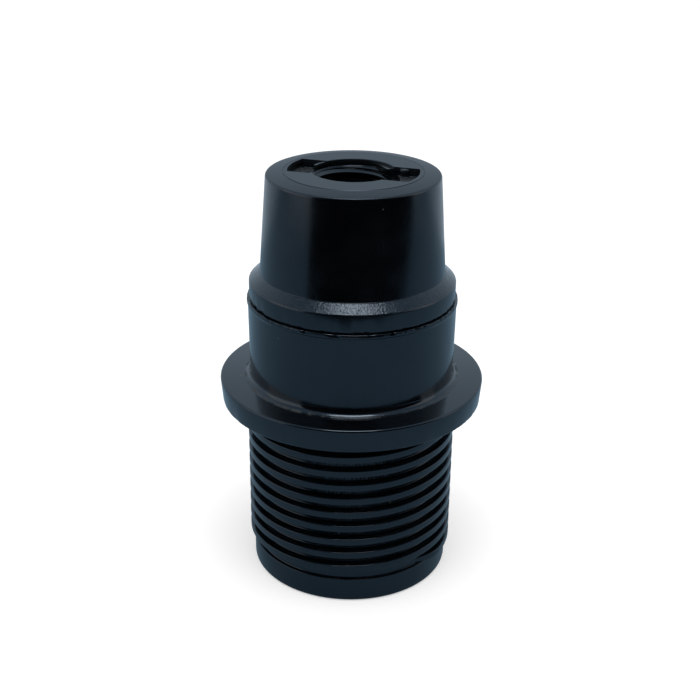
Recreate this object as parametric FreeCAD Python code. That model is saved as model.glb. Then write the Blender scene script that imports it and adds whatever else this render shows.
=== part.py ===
import FreeCAD, Part
import math
import os

# Lamp holder for small screw lamps (14 mm Edison thread), in millimetres.
# It stands mouth down: the origin is the centre of the mouth rim, and +Z runs up
# the axis to the threaded entry in the cap. -Y is the front.
#
# A moulded skirt with a 28 x 2 barrel thread carries a ceramic insert on a ledge.
# The cap screws into the skirt's collar and clamps the insert, which is keyed to it.

V = FreeCAD.Vector
UP = V(0, 0, 1)

# ---- skirt -----------------------------------------------------------------
thread_crest_r = 13.75        # 28 x 2 barrel thread, crest
thread_depth = 0.90
thread_pitch = 2.0
thread_crest_width = 0.80
thread_base_width = 1.28
thread_start_z = 3.13         # middle of the ridge where it has its full height
thread_start_deg = -15.0      # where that is, measured from +X
thread_fade_deg = 38.0        # arc over which the ridge rises from the lead ring
lead_ring_r = 13.2            # plain ring that leads the mating ring on
lead_ring_height = 3.2
mouth_edge_r = 0.5            # rounded edge of the mouth
skirt_bore_r = 11.2           # room for the lamp's neck
flange_z = 24.35              # underside of the flange
flange_height = 3.05
flange_r = 17.28
flange_draft = 0.28           # the flange is this much smaller at its underside
flange_edge_r = 0.25
seat_relief_margin = 0.15     # shallow relief round the thread's crest, inside the flange's flat seat
seat_relief_depth = 0.25
flange_fillet_r = 0.95        # between the flange and the collar
collar_top_r = 13.54
collar_taper = 0.24           # the collar is this much smaller at its foot
collar_wall = 1.49            # from the lip to the bore inside the collar's thread
collar_height = 10.85         # above the flange
collar_lip_height = 1.1       # band at the top that stands a little proud
collar_lip_step = 0.12
collar_edge_r = 0.2
ledge_z = 28.0                # seat of the insert
ledge_thickness = 2.4
ledge_width = 2.05

# ---- cap -------------------------------------------------------------------
rim_gap = 0.32                # open joint between the cap and the collar
rim_step = 0.31               # the rim stands back this far from the collar
rim_height = 2.0
rim_edge_r = 0.2
shoulder_height = 1.15        # chamfer from the rim to the cone
shoulder_width = 1.41
cone_height = 12.55
cone_taper = 0.9
crown_edge_r = 0.35
crown_rise = 0.35             # the crown's middle stands this much above its edge
crown_r = 8.72                # ring groove round the middle
crown_groove = 0.16
spigot_clearance = 0.3        # between the spigot and the collar's bore
spigot_wall = 1.65
spigot_chamfer = 0.5
cavity_wall = 2.22            # at the cavity's upper end
cavity_fillet_r = 1.2
entry_r = 4.46                # M10 x 1 thread, at its minor diameter
entry_wall = 7.4              # thickness of the cap's top
entry_bore_lead = 0.6         # chamfer inside the cavity
counterbore_r = 5.25
counterbore_depth = 0.85
counterbore_lead = 0.42       # height of the cone down to the thread
slot_width = 6.0              # recess across the crown
slot_end_r = 8.2
slot_depth = 1.15
slot_deg = -16.0
slot_wall = 0.4               # low wall between the left pocket and the entry
slot_wall_drop = 0.85         # its top below the crown, apart from a thin fin
fin_thickness = 0.35
fin_sweep_deg = 24.0
tooth_drop = 0.3              # locking tooth beside the entry, below the crown
tooth_side = 3.7              # its length along the entry's edge
tooth_reach = 0.75            # how far its tip stands into the slot's mouth
tooth_back = 1.6              # its width at the back, behind the slot's rear wall
rib_r = 0.62                  # half-round rib in the right pocket
rib_offset = 5.75
burr_drop = 0.1               # fin and rib end this much below the crown

# ---- insert ----------------------------------------------------------------
seat_clearance = 0.3          # insert to collar and ledge bores
insert_top_z = 31.5
insert_floor_z = 25.0         # underside, where the screw shell is riveted
insert_edge_r = 0.4
cup_depth = 5.0               # ceramic sleeve round the shell's upper end
cup_clearance = 0.3
partition_y = -2.7
partition_thickness = 1.0
partition_height = 8.6
partition_margin = 0.7        # from the partition's ends to the spigot's bore
partition_root = 0.5          # how deep it starts in the insert's body
key_clearance = 0.3
key_rib = 1.2
key_rib_reach = 2.0           # how far the ribs stand into the cavity
key_rib_foot = 0.8            # their lower ends above the insert
plate_recess = 0.6

# ---- screw shell -----------------------------------------------------------
shell_thread_r = 7.0          # inside, at the root of the 14 mm round thread
shell_thread_depth = 0.8
shell_pitch = 2.822
shell_turns = 5
shell_sheet = 0.35
shell_lead = 1.2              # plain end at the mouth
shell_rim_width = 0.95        # rim that is turned in at the top
shell_bend_r = 0.8
shell_lug_reach = 2.4         # the two riveted lugs reach this far in from the rim
shell_lug_width = 3.4

# ---- centre contact --------------------------------------------------------
pin_r = 1.2
pin_clearance = 0.05
pin_travel = 1.4
pin_stand = 0.8               # what still stands out of the ceramic when it is pressed home
pin_collar_r = 1.7
pin_collar_height = 1.0
pin_guide = 1.6               # length of the guide bore in the ceramic
pin_nose_r = 0.8
pin_spigot_r = 0.8
pin_spigot_height = 0.9
spring_bore_clearance = 0.15
spring_wire = 0.32
spring_turns = 4.0
spring_seat_gap = 0.02

# ---- terminals -------------------------------------------------------------
plate_thickness = 1.2
plate_edge_clearance = 0.25
plate_margin = 0.7            # from the plates' round edges to the spigot's bore
live_half_width = 2.6
live_tail_y = -1.9
live_arm_x = 6.7
live_arm_y = 2.2
live_screw = (0.0, 6.1)
live_rivet = (4.4, 0.2)
neutral_left_x = -5.8
neutral_right_x = 3.2
neutral_top_y = -3.45
neutral_screw = (-2.8, -5.9)
shell_rivet_inset = 1.15      # from the shell's rim in to the rivets that hold its lugs
neutral_rivet_deg = -75.1
blank_rivet_deg = 165.7
blank_pocket_depth = 2.2
screw_r = 1.5                 # M3
screw_length = 6.0
screw_clearance = 0.05
screw_well_r = 2.0
screw_well_margin = 0.6
screw_head_r = 2.4
screw_head_height = 2.0
screw_head_edge = 0.3
screw_slot_width = 0.8
screw_slot_depth = 1.1
clamp_half = 2.5
clamp_corner = 0.8
clamp_thickness = 0.8
clamp_bore_gap = 0.1
lock_washer_r = 2.2
lock_washer_thickness = 0.6
lock_washer_gap = 0.5
rivet_r = 0.9
rivet_clearance = 0.02
rivet_head_r = 1.25
rivet_head_height = 0.6
rivet_pocket_gap = 0.3        # round a head that is sunk in the ceramic
live_rivet_cover = 1.0        # from the underside up to the live rivet's lower head

# ---- worked out ------------------------------------------------------------
thread_root_r = thread_crest_r - thread_depth
seat_relief_r = thread_crest_r + seat_relief_margin
collar_foot_r = collar_top_r - collar_taper
collar_bore_r = collar_top_r - collar_wall
ledge_bore_r = collar_bore_r - ledge_width
rim_r = collar_top_r - rim_step
cone_foot_r = rim_r - shoulder_width
cone_top_r = cone_foot_r - cone_taper
cavity_top_r = cone_top_r - cavity_wall
collar_z = flange_z + flange_height
skirt_top_z = collar_z + collar_height
rim_z = skirt_top_z + rim_gap
shoulder_z = rim_z + rim_height
cone_z = shoulder_z + shoulder_height
crown_edge_z = cone_z + cone_height
crown_z = crown_edge_z + crown_rise
cavity_top_z = crown_z - entry_wall
spigot_r = collar_bore_r - spigot_clearance
spigot_bore_r = spigot_r - spigot_wall
insert_flange_r = collar_bore_r - seat_clearance
insert_neck_r = ledge_bore_r - seat_clearance
partition_half_width = spigot_bore_r - partition_margin
plate_reach_r = spigot_bore_r - plate_margin
shell_crest_r = shell_thread_r - shell_thread_depth
shell_mean_r = (shell_thread_r + shell_crest_r) / 2
shell_outer_r = shell_thread_r + shell_sheet
shell_rim_r = shell_mean_r + shell_sheet - shell_rim_width
shell_lug_r = shell_rim_r - shell_lug_reach
cup_bore_r = shell_outer_r + cup_clearance
shell_floor_z = insert_floor_z - shell_sheet
live_pocket_z = insert_floor_z + live_rivet_cover + rivet_head_height
pin_tip_z = insert_floor_z - pin_travel - pin_stand
plate_z = insert_top_z - plate_recess
plate_top_z = plate_z + plate_thickness
pin_ledge_z = insert_floor_z + pin_guide
spring_foot_z = pin_ledge_z + pin_collar_height
spring_bore_r = pin_collar_r + spring_bore_clearance


def on_circle(radius, degrees):
    return (radius * math.cos(math.radians(degrees)), radius * math.sin(math.radians(degrees)))


neutral_rivet = on_circle(shell_rim_r - shell_rivet_inset, neutral_rivet_deg)
blank_rivet = on_circle(shell_rim_r - shell_rivet_inset, blank_rivet_deg)


def cylinder(radius, z0, z1, at=(0.0, 0.0)):
    return Part.makeCylinder(radius, z1 - z0, V(at[0], at[1], z0), UP)


def prism(outline, z0, z1):
    """A straight block over a closed outline of (x, y) corners."""
    points = [V(x, y, z0) for x, y in outline]
    face = Part.Face(Part.makePolygon(points + points[:1]))
    return face.extrude(V(0, 0, z1 - z0))


class Section:
    """Half section in the X-Z plane, drawn edge by edge and turned about the axis."""

    def __init__(self, r, z):
        self.start = V(r, 0, z)
        self.here = self.start
        self.edges = []

    def to(self, r, z):
        point = V(r, 0, z)
        self.edges.append(Part.LineSegment(self.here, point).toShape())
        self.here = point
        return self

    def arc(self, mid, end):
        middle = V(mid[0], 0, mid[1])
        point = V(end[0], 0, end[1])
        self.edges.append(Part.Arc(self.here, middle, point).toShape())
        self.here = point
        return self

    def revolve(self):
        self.to(self.start.x, self.start.z)
        face = Part.Face(Part.Wire(self.edges))
        return face.revolve(V(0, 0, 0), UP, 360)


def circular_edges(shape, radius, z, slack=0.02):
    """Edges that lie on a circle of this radius round the axis at this height."""
    found = []
    for edge in shape.Edges:
        box = edge.BoundBox
        if box.ZLength > slack or abs(box.ZMin - z) > slack:
            continue
        if all(abs(math.hypot(v.Point.x, v.Point.y) - radius) < slack for v in edge.Vertexes):
            found.append(edge)
    return found


def helix_wire(pitch, rise, radius, start_z):
    """A right-hand helix from the +X side, drawn turn by turn on its cylinder."""
    surface = Part.Cylinder()
    surface.Radius = radius
    turns = rise / pitch
    edges = []
    done = 0.0
    while done < turns - 1e-6:
        end = min(done + 1.0, turns)
        line = Part.Geom2d.Line2dSegment(FreeCAD.Base.Vector2d(2 * math.pi * done, pitch * done),
                                         FreeCAD.Base.Vector2d(2 * math.pi * end, pitch * end))
        edges.append(line.toShape(surface))
        done = end
    wire = Part.Wire(edges)
    wire.translate(V(0, 0, start_z))
    return wire


def swept(path, profiles):
    sweep = Part.BRepOffsetAPI.MakePipeShell(path)
    sweep.setFrenetMode(True)
    for profile in profiles:
        sweep.add(profile)
    sweep.build()
    sweep.makeSolid()
    return sweep.shape()


def largest(shape):
    return max(shape.Solids, key=lambda solid: solid.Volume)


# ---- skirt -----------------------------------------------------------------
def ridge_section(turn_deg, middle_z, sink=0.0):
    """The ridge's profile at one place on the helix, sunk where the ridge fades out."""
    root = 0.3
    base_r = thread_root_r - root
    flare = (thread_base_width - thread_crest_width) / 2 * (1 + root / thread_depth)
    half_crest = thread_crest_width / 2
    corners = [
        V(base_r - sink, 0, middle_z - half_crest - flare),
        V(thread_crest_r - sink, 0, middle_z - half_crest),
        V(thread_crest_r - sink, 0, middle_z + half_crest),
        V(base_r - sink, 0, middle_z + half_crest + flare),
    ]
    outline = Part.makePolygon(corners + corners[:1])
    outline.rotate(V(0, 0, 0), UP, turn_deg)
    return outline


def barrel_ridge():
    """The thread's ridge, swept along its helix from the lead ring into the flange."""
    end_z = flange_z + thread_pitch / 2
    path = helix_wire(thread_pitch, end_z - thread_start_z, thread_root_r, thread_start_z)
    ridge = swept(path, [ridge_section(0, thread_start_z)])
    drop = thread_pitch * thread_fade_deg / 360
    foot = helix_wire(thread_pitch, drop, thread_root_r, thread_start_z - drop)
    foot.rotate(V(0, 0, 0), UP, -thread_fade_deg)
    fade = swept(foot, [ridge_section(-thread_fade_deg, thread_start_z - drop, thread_depth),
                        ridge_section(0, thread_start_z)])
    for piece in (ridge, fade):
        piece.rotate(V(0, 0, 0), UP, thread_start_deg)
    return [ridge, fade]


def threaded_skirt():
    collar_mid_r = collar_top_r - collar_lip_step
    lip_z = skirt_top_z - collar_lip_height
    outer = Section(skirt_bore_r, 0)
    outer.to(lead_ring_r, 0)
    outer.to(lead_ring_r, lead_ring_height)
    outer.to(thread_root_r, lead_ring_height + (lead_ring_r - thread_root_r))
    outer.to(thread_root_r, flange_z + seat_relief_depth)
    outer.to(seat_relief_r, flange_z + seat_relief_depth)
    outer.to(seat_relief_r, flange_z)
    outer.to(flange_r - flange_draft, flange_z)
    outer.to(flange_r, collar_z)
    outer.to(collar_foot_r, collar_z)
    outer.to(collar_mid_r, lip_z)
    outer.to(collar_top_r, lip_z + collar_lip_step)
    outer.to(collar_top_r, skirt_top_z)
    outer.to(collar_bore_r, skirt_top_z)
    outer.to(collar_bore_r, ledge_z)
    outer.to(ledge_bore_r, ledge_z)
    outer.to(ledge_bore_r, ledge_z - ledge_thickness)
    outer.to(skirt_bore_r, ledge_z - ledge_thickness - (skirt_bore_r - ledge_bore_r))
    body = outer.revolve()
    body = body.makeFillet(mouth_edge_r, circular_edges(body, lead_ring_r, 0))
    body = body.makeFillet(flange_edge_r, circular_edges(body, flange_r, collar_z))
    body = body.makeFillet(flange_fillet_r, circular_edges(body, collar_foot_r, collar_z))
    body = body.makeFillet(collar_edge_r, circular_edges(body, collar_top_r, skirt_top_z))
    return largest(body.fuse(barrel_ridge()))


# ---- cap -------------------------------------------------------------------
def turned(x, y):
    """A point given along and across the crown's slot, in plan."""
    angle = math.radians(slot_deg)
    return (x * math.cos(angle) - y * math.sin(angle), x * math.sin(angle) + y * math.cos(angle))


def crown_slot():
    """The recess across the crown: two pockets that end on one circle."""
    half = slot_width / 2
    reach = slot_end_r + 1
    bar = prism([turned(x, y) for x, y in
                 [(-reach, -half), (reach, -half), (reach, half), (-reach, half)]],
                crown_z - slot_depth, crown_z + 1)
    pockets = bar.common(cylinder(slot_end_r, crown_z - slot_depth, crown_z + 1))
    ring = cylinder(counterbore_r + slot_wall, crown_z - slot_depth, crown_z - slot_wall_drop)
    left = prism([turned(x, y) for x, y in
                  [(-reach, -half - 1), (0, -half - 1), (0, half + 1), (-reach, half + 1)]],
                 crown_z - slot_depth, crown_z + 1)
    return pockets.cut(ring.common(left))


def wall_fin():
    """Thin fin left standing on the low wall, at the slot's rear edge."""
    outer = cylinder(counterbore_r + fin_thickness, crown_z - slot_wall_drop, crown_z - burr_drop)
    inner = cylinder(counterbore_r, crown_z - slot_wall_drop - 1, crown_z + 1)
    ring = outer.cut(inner)
    start = math.degrees(math.asin(slot_width / 2 / counterbore_r))
    reach = 2 * counterbore_r
    corners = [(0.0, 0.0)]
    for step in (-fin_sweep_deg / 4, fin_sweep_deg):
        angle = math.radians(180 - start + step)
        corners.append(turned(reach * math.cos(angle), reach * math.sin(angle)))
    return ring.common(prism(corners, crown_z - slot_wall_drop - 1, crown_z + 1))


def locking_tooth():
    """Three-cornered tooth that bites the threaded tube, beside the right pocket."""
    half = slot_width / 2
    root = math.sqrt(counterbore_r ** 2 - half ** 2)
    tip = turned(root - tooth_reach, half - tooth_reach / 3)
    corner = turned(root + slot_wall / 2, half + slot_wall / 2)
    back_angle = math.atan2(corner[1], corner[0]) + tooth_side / counterbore_r
    back_r = counterbore_r + slot_wall / 4
    back = (back_r * math.cos(back_angle), back_r * math.sin(back_angle))
    bulge = turned(root + slot_wall, half + tooth_back)
    foot_z = crown_z - counterbore_depth - counterbore_lead / 2
    return prism([tip, corner, bulge, back], foot_z, crown_z - tooth_drop)


def slot_rib():
    """Half-round rib on the right pocket's rear wall."""
    x, y = turned(rib_offset, slot_width / 2)
    return cylinder(rib_r, crown_z - slot_depth, crown_z - burr_drop, (x, y))


def key_ribs():
    """Two pairs of ribs in the cavity that hold the ends of the insert's partition."""
    ribs = []
    gap = partition_thickness / 2 + key_clearance
    for side in (-1, 1):
        x0 = side * (spigot_bore_r - key_rib_reach)
        x1 = side * (spigot_bore_r + spigot_wall / 2)
        for y0, y1 in ((partition_y + gap, partition_y + gap + key_rib),
                       (partition_y - gap - key_rib, partition_y - gap)):
            ribs.append(prism([(x0, y0), (x1, y0), (x1, y1), (x0, y1)],
                              insert_top_z + key_rib_foot, cavity_top_z + spigot_wall / 2))
    return ribs


def entry_cap():
    outer = Section(spigot_bore_r, insert_top_z)
    outer.to(spigot_r - spigot_chamfer, insert_top_z)
    outer.to(spigot_r, insert_top_z + spigot_chamfer)
    outer.to(spigot_r, rim_z)
    outer.to(rim_r, rim_z)
    outer.to(rim_r, shoulder_z)
    outer.to(cone_foot_r, cone_z)
    outer.to(cone_top_r, crown_edge_z)
    outer.to(crown_r + crown_groove, crown_z - crown_groove / 2)
    outer.to(crown_r, crown_z - crown_groove)
    outer.to(crown_r - crown_groove, crown_z)
    outer.to(counterbore_r, crown_z)
    outer.to(counterbore_r, crown_z - counterbore_depth)
    outer.to(entry_r, crown_z - counterbore_depth - counterbore_lead)
    outer.to(entry_r, cavity_top_z + entry_bore_lead)
    outer.to(entry_r + entry_bore_lead, cavity_top_z)
    outer.to(cavity_top_r, cavity_top_z)
    outer.to(spigot_bore_r, cone_z)
    body = outer.revolve()
    body = body.makeFillet(crown_edge_r, circular_edges(body, cone_top_r, crown_edge_z))
    body = body.makeFillet(rim_edge_r, circular_edges(body, rim_r, shoulder_z))
    body = body.makeFillet(cavity_fillet_r, circular_edges(body, cavity_top_r, cavity_top_z))
    envelope = cylinder(spigot_r - spigot_chamfer, insert_top_z, crown_z)
    for rib in key_ribs():
        body = body.fuse(rib.common(envelope))
    body = body.cut(crown_slot())
    body = body.fuse([wall_fin(), locking_tooth(), slot_rib()])
    return largest(body.removeSplitter())


# ---- insert and shell ------------------------------------------------------
def plate_outline(name, grow=0.0):
    """A terminal plate in plan, cut to the round of the insert."""
    if name == "live":
        w = live_half_width + grow
        corners = [(-w, live_tail_y - grow), (live_arm_x + grow, live_tail_y - grow),
                   (live_arm_x + grow, live_arm_y + grow), (w, live_arm_y + grow),
                   (w, plate_reach_r + 1), (-w, plate_reach_r + 1)]
    else:
        corners = [(neutral_left_x - grow, neutral_top_y + grow),
                   (neutral_left_x - grow, -plate_reach_r - 1),
                   (neutral_right_x + grow, -plate_reach_r - 1),
                   (neutral_right_x + grow, neutral_top_y + grow)]
    return corners, plate_reach_r + grow


def plate_block(name, z0, z1, grow=0.0):
    corners, reach = plate_outline(name, grow)
    return prism(corners, z0, z1).common(cylinder(reach, z0, z1))


def ceramic_insert():
    section = Section(cup_bore_r, insert_floor_z)
    section.to(cup_bore_r, insert_floor_z - cup_depth)
    section.to(insert_neck_r, insert_floor_z - cup_depth)
    section.to(insert_neck_r, ledge_z)
    section.to(insert_flange_r, ledge_z)
    section.to(insert_flange_r, insert_top_z)
    section.to(0, insert_top_z)
    section.to(0, insert_floor_z)
    body = section.revolve()
    body = body.makeFillet(insert_edge_r,
                           circular_edges(body, insert_neck_r, insert_floor_z - cup_depth))
    wall = prism([(-partition_half_width, partition_y - partition_thickness / 2),
                  (partition_half_width, partition_y - partition_thickness / 2),
                  (partition_half_width, partition_y + partition_thickness / 2),
                  (-partition_half_width, partition_y + partition_thickness / 2)],
                 insert_top_z - partition_root, insert_top_z + partition_height)
    wall = wall.common(cylinder(spigot_bore_r - key_clearance, insert_top_z - partition_root,
                                insert_top_z + partition_height))
    body = body.fuse(wall)
    cuts = [cylinder(pin_r + pin_clearance, insert_floor_z - 1, pin_ledge_z + 0.1),
            cylinder(spring_bore_r, pin_ledge_z, insert_top_z + 0.1)]
    for name in ("live", "neutral"):
        cuts.append(plate_block(name, plate_z, insert_top_z + 0.1, plate_edge_clearance))
    well_z = plate_top_z + clamp_thickness + lock_washer_thickness - screw_length - screw_well_margin
    for at in (live_screw, neutral_screw):
        cuts.append(cylinder(screw_well_r, well_z, insert_top_z, at))
    for at in (live_rivet, neutral_rivet, blank_rivet):
        cuts.append(cylinder(rivet_r + rivet_clearance, insert_floor_z - 1, insert_top_z + 0.1, at))
    pocket_r = rivet_head_r + rivet_pocket_gap
    cuts.append(cylinder(pocket_r, insert_top_z - blank_pocket_depth, insert_top_z + 0.1,
                         blank_rivet))
    cuts.append(cylinder(pocket_r, insert_floor_z - 0.1, live_pocket_z, live_rivet))
    for cut in cuts:
        body = body.cut(cut)
    return largest(body)


def rolled_wave(section, offset, top_z, turns, downward=True):
    """Round thread of the shell: arcs between points at mid height, root and crest in turn."""
    mean_r = shell_mean_r + offset
    wave = (shell_thread_r - shell_crest_r) / 2
    half = shell_pitch / 2
    steps = range(turns * 2)
    for step in steps if downward else reversed(steps):
        bulge = wave if step % 2 else -wave
        end = step + 1 if downward else step
        section.arc((mean_r + bulge, top_z - (step + 0.5) * half), (mean_r, top_z - end * half))


def shell_lug(at):
    """A lug of the turned-in rim that reaches in to one rivet."""
    half = shell_lug_width / 2
    outline = [(shell_lug_r, -half), (shell_rim_r + shell_sheet, -half),
               (shell_rim_r + shell_sheet, half), (shell_lug_r, half)]
    lug = prism(outline, shell_floor_z, insert_floor_z)
    lug.rotate(V(0, 0, 0), UP, math.degrees(math.atan2(at[1], at[0])))
    return lug.common(cylinder(shell_thread_r + shell_sheet - shell_bend_r, shell_floor_z,
                               insert_floor_z))


def screw_shell():
    """Rolled brass shell: round thread as beads, a foot turned in, a plain lead."""
    mean_r = shell_mean_r
    top_z = shell_floor_z - shell_bend_r
    foot_z = top_z - shell_turns * shell_pitch
    bend = shell_bend_r * (1 - math.sqrt(0.5))
    inner_bend = (shell_bend_r - shell_sheet) * math.sqrt(0.5)
    outer_r = mean_r + shell_sheet
    section = Section(shell_rim_r, insert_floor_z)
    section.to(outer_r - shell_bend_r, insert_floor_z)
    section.arc((outer_r - bend, insert_floor_z - bend), (outer_r, insert_floor_z - shell_bend_r))
    section.to(outer_r, top_z)
    rolled_wave(section, shell_sheet, top_z, shell_turns)
    section.to(outer_r, foot_z - shell_lead)
    section.to(mean_r, foot_z - shell_lead)
    section.to(mean_r, foot_z)
    rolled_wave(section, 0.0, top_z, shell_turns, downward=False)
    section.to(mean_r, insert_floor_z - shell_bend_r)
    section.arc((outer_r - shell_bend_r + inner_bend, insert_floor_z - shell_bend_r + inner_bend),
                (outer_r - shell_bend_r, shell_floor_z))
    section.to(shell_rim_r, shell_floor_z)
    shell = section.revolve()
    for at in (neutral_rivet, blank_rivet):
        shell = shell.fuse(shell_lug(at))
    for at in (neutral_rivet, blank_rivet):
        hole = cylinder(rivet_r + rivet_clearance, shell_floor_z - 1, insert_floor_z + 1, at)
        shell = shell.cut(hole)
    return largest(shell)


# ---- centre contact --------------------------------------------------------
def contact_pin():
    section = Section(0, pin_tip_z)
    nose = pin_nose_r * (1 - math.sqrt(0.5))
    section.to(pin_r - pin_nose_r, pin_tip_z)
    section.arc((pin_r - nose, pin_tip_z + nose), (pin_r, pin_tip_z + pin_nose_r))
    section.to(pin_r, pin_ledge_z)
    section.to(pin_collar_r, pin_ledge_z)
    section.to(pin_collar_r, spring_foot_z)
    section.to(pin_spigot_r, spring_foot_z)
    section.to(pin_spigot_r, spring_foot_z + pin_spigot_height)
    section.to(0, spring_foot_z + pin_spigot_height)
    return largest(section.revolve())


def contact_spring():
    """Coil between the pin's collar and the live plate."""
    height = plate_z - spring_foot_z
    coil_r = pin_collar_r - spring_wire / 2
    rise = height - spring_wire - 2 * spring_seat_gap
    foot_z = spring_foot_z + spring_wire / 2 + spring_seat_gap
    path = helix_wire(rise / spring_turns, rise, coil_r, foot_z)
    ring = Part.makeCircle(spring_wire / 2, V(coil_r, 0, foot_z), V(0, 1, 0))
    return largest(swept(path, [Part.Wire(ring)]))


# ---- terminals -------------------------------------------------------------
def terminal_plate(name, screw_at, rivet_at):
    body = plate_block(name, plate_z, plate_top_z)
    body = body.cut(cylinder(screw_r + screw_clearance, plate_z - 1, plate_top_z + 1, screw_at))
    return largest(body.cut(cylinder(rivet_r + rivet_clearance, plate_z - 1, plate_top_z + 1,
                                     rivet_at)))


def clamp_washer(at):
    """Square plate with clipped corners that holds the wire down."""
    x, y = at
    a = clamp_half
    b = clamp_half - clamp_corner
    outline = [(x - a, y - b), (x - b, y - a), (x + b, y - a), (x + a, y - b),
               (x + a, y + b), (x + b, y + a), (x - b, y + a), (x - a, y + b)]
    z1 = plate_top_z + clamp_thickness
    body = prism(outline, plate_top_z, z1)
    return largest(body.cut(cylinder(screw_r + clamp_bore_gap, plate_top_z - 1, z1 + 1, at)))


def lock_washer(at):
    """Split ring under the screw's head."""
    x, y = at
    z0 = plate_top_z + clamp_thickness
    z1 = z0 + lock_washer_thickness
    body = cylinder(lock_washer_r, z0, z1, at)
    body = body.cut(cylinder(screw_r + clamp_bore_gap, z0 - 1, z1 + 1, at))
    half = lock_washer_gap / 2
    gap = prism([(x, y - half), (x + 2 * lock_washer_r, y - half),
                 (x + 2 * lock_washer_r, y + half), (x, y + half)], z0 - 1, z1 + 1)
    return largest(body.cut(gap))


def terminal_screw(at):
    x, y = at
    head_z = plate_top_z + clamp_thickness + lock_washer_thickness
    top_z = head_z + screw_head_height
    body = cylinder(screw_r, head_z - screw_length, head_z, at)
    head = cylinder(screw_head_r, head_z, top_z, at)
    top = [edge for edge in head.Edges if abs(edge.BoundBox.ZMin - top_z) < 1e-3]
    head = head.makeChamfer(screw_head_edge, top)
    half = screw_slot_width / 2
    reach = screw_head_r + 1
    slot = prism([(x - reach, y - half), (x + reach, y - half),
                  (x + reach, y + half), (x - reach, y + half)],
                 top_z - screw_slot_depth, top_z + 1)
    return largest(body.fuse(head).cut(slot).removeSplitter())


def rivet(at, foot_z, head_z):
    """Shank from the lower head's underside to the upper head."""
    body = cylinder(rivet_r, foot_z - rivet_head_height, head_z + rivet_head_height, at)
    lower = cylinder(rivet_head_r, foot_z - rivet_head_height, foot_z, at)
    upper = cylinder(rivet_head_r, head_z, head_z + rivet_head_height, at)
    return largest(body.fuse([lower, upper]).removeSplitter())


def build():
    return {
        "threaded_skirt": threaded_skirt(),
        "entry_cap": entry_cap(),
        "ceramic_insert": ceramic_insert(),
        "screw_shell": screw_shell(),
        "contact_pin": contact_pin(),
        "contact_spring": contact_spring(),
        "live_terminal": terminal_plate("live", live_screw, live_rivet),
        "neutral_terminal": terminal_plate("neutral", neutral_screw, neutral_rivet),
        "live_clamp_washer": clamp_washer(live_screw),
        "neutral_clamp_washer": clamp_washer(neutral_screw),
        "live_lock_washer": lock_washer(live_screw),
        "neutral_lock_washer": lock_washer(neutral_screw),
        "live_terminal_screw": terminal_screw(live_screw),
        "neutral_terminal_screw": terminal_screw(neutral_screw),
        "live_terminal_rivet": rivet(live_rivet, live_pocket_z, plate_top_z),
        "neutral_shell_rivet": rivet(neutral_rivet, shell_floor_z, plate_top_z),
        "blank_shell_rivet": rivet(blank_rivet, shell_floor_z,
                                   insert_top_z - blank_pocket_depth),
    }


os.makedirs("parts", exist_ok=True)
for name, shape in build().items():
    shape.exportStep("parts/" + name + ".step")
    print(name, shape.isValid(), len(shape.Solids), round(shape.Volume, 1))
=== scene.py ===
"""Finish and fine form of a moulded lamp holder: threaded skirt, flange and screwed cap."""
import math

import bpy
from mathutils import Matrix, Vector, noise


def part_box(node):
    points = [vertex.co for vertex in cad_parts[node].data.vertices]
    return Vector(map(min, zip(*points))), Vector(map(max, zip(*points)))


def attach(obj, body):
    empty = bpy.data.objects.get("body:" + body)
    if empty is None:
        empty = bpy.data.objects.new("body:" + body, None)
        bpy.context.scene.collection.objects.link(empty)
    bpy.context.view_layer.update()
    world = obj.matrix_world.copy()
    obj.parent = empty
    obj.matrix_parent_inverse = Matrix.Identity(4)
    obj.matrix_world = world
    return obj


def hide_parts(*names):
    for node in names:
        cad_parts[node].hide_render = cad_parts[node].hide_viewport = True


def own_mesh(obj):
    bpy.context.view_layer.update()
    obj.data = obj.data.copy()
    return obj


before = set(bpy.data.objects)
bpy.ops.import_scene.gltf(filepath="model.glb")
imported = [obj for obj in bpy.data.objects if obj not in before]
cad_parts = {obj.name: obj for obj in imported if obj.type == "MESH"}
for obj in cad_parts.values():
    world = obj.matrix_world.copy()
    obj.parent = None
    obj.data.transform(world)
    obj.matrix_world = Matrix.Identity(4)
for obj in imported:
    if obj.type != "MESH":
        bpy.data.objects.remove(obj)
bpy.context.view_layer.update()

MM = 0.001
SIDES = 256                    # columns of a turned body
SMOOTH_DEG = 32                # edges sharper than this stay sharp

# ---- sizes, in millimetres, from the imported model's boxes where they give them ----
skirt_low, skirt_high = [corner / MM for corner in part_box("threaded_skirt")]
cap_low, cap_high = [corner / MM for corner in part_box("entry_cap")]
shell_low, shell_high = [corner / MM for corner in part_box("screw_shell")]
spring_low, spring_high = [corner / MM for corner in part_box("contact_spring")]

MOUTH_Z = skirt_low.z
FLANGE_R = skirt_high.x
COLLAR_TOP_Z = skirt_high.z
SPIGOT_Z = cap_low.z
CROWN_Z = cap_high.z

# barrel thread
CREST_R = 13.75
ROOT_R = 12.75
PITCH = 2.0
CREST_WIDTH = 0.9
BASE_WIDTH = 1.06
CREST_EDGE = 0.1               # radius along the crest's edges
ROOT_FILLET = 0.14             # radius at the ridge's foot
THREAD_SIDES = 160             # columns in a turn of the ridge
THREAD_START_Z = MOUTH_Z + 3.74
THREAD_START_DEG = -28.0
THREAD_FADE_DEG = 22.0

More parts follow.
